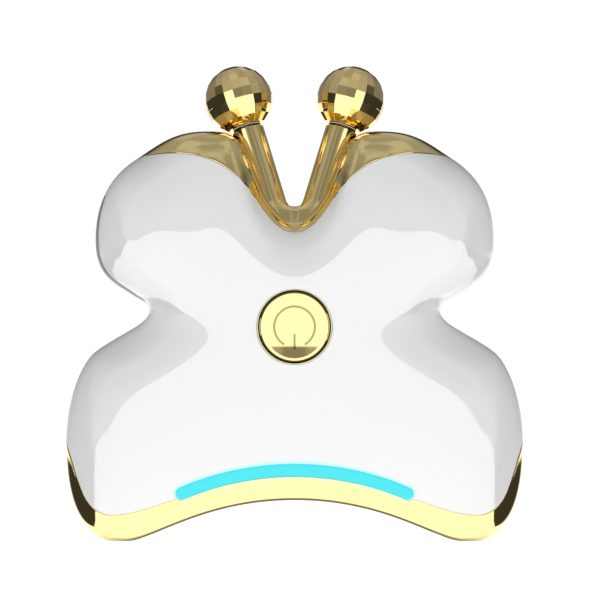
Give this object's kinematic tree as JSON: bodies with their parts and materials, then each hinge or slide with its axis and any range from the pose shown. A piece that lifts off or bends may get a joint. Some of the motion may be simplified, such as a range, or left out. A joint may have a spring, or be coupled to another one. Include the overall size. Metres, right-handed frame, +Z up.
{
  "type": "facial toning device",
  "caption": "Butterfly-shaped hand-held facial massager with two spinning faceted rollers on a forked neck, a push button, a light strip and gold contact trims",
  "frame": {"origin": "middle of the underside of the device as it stands on the two feet of its bottom band", "axes": "+Z up, towards the rollers; -Y out of the button's face; +X to the right as seen facing the button"},
  "size_m": [0.1002, 0.0332, 0.1039],
  "materials": {
    "shell": "glossy white moulded plastic",
    "seal": "satin grey elastomer",
    "gold_trim": "polished gold plating",
    "gold_part": "polished gold plating",
    "gold_ball": "mirror-bright faceted gold plating",
    "light": "milky light guide, lit cyan",
    "led": "surface-mounted light emitters",
    "board": "green solder mask over fibreglass",
    "dark_plastic": "black moulded plastic",
    "dark_rubber": "black rubber",
    "inner_plastic": "natural moulded plastic",
    "battery_skin": "crinkled pouch foil",
    "tape": "double-sided foam tape",
    "steel": "bright machined steel",
    "bush_plastic": "natural acetal"
  },
  "bodies": {
    "case": {"front_shell": "shell", "rear_shell": "shell", "side_seal_left": "seal", "side_seal_right": "seal", "top_trim": "gold_trim", "bottom_band": "gold_trim", "light_guide": "light", "led_board": "board", "led_chips": "led", "button_bezel": "gold_part", "switch_body": "dark_plastic", "main_board": "board", "board_chips": "dark_plastic", "board_screws": "steel", "chassis": "inner_plastic", "battery": "battery_skin", "battery_tape": "tape", "vibration_motor": "steel", "motor_boot": "dark_rubber", "port_board": "board", "charge_socket": "steel", "roller_fork": "gold_part", "fork_screws": "steel", "axle_left": "steel", "axle_right": "steel", "thrust_washers": "steel", "retaining_rings": "steel", "shell_screws": "steel", "screw_plugs": "shell"},
    "button": {"power_button": "gold_part", "button_clip": "steel", "switch_plunger": "dark_plastic"},
    "roller_left": {"ball_left": "gold_ball", "bush_left": "bush_plastic"},
    "roller_right": {"ball_right": "gold_ball", "bush_right": "bush_plastic"},
    "rotor": {"motor_weight": "steel"}
  },
  "joints": [
    {"name": "button_press", "type": "slide", "parent": "case", "child": "button", "axis": [0, 1, 0], "range_m": [0, 0.0005], "stiffness_N_per_m": 600},
    {"name": "left_roller_spin", "type": "hinge", "parent": "case", "child": "roller_left", "pos_m": [-0.0123, 0.00507, 0.09645], "axis": [-0.2874, 0.1991, 0.9369], "continuous": true},
    {"name": "right_roller_spin", "type": "hinge", "parent": "case", "child": "roller_right", "pos_m": [0.0123, 0.00507, 0.09645], "axis": [0.2874, 0.1991, 0.9369], "continuous": true},
    {"name": "motor_spin", "type": "hinge", "parent": "case", "child": "rotor", "pos_m": [0, -0.005, 0.02502], "axis": [1, 0, 0], "continuous": true}
  ]
}
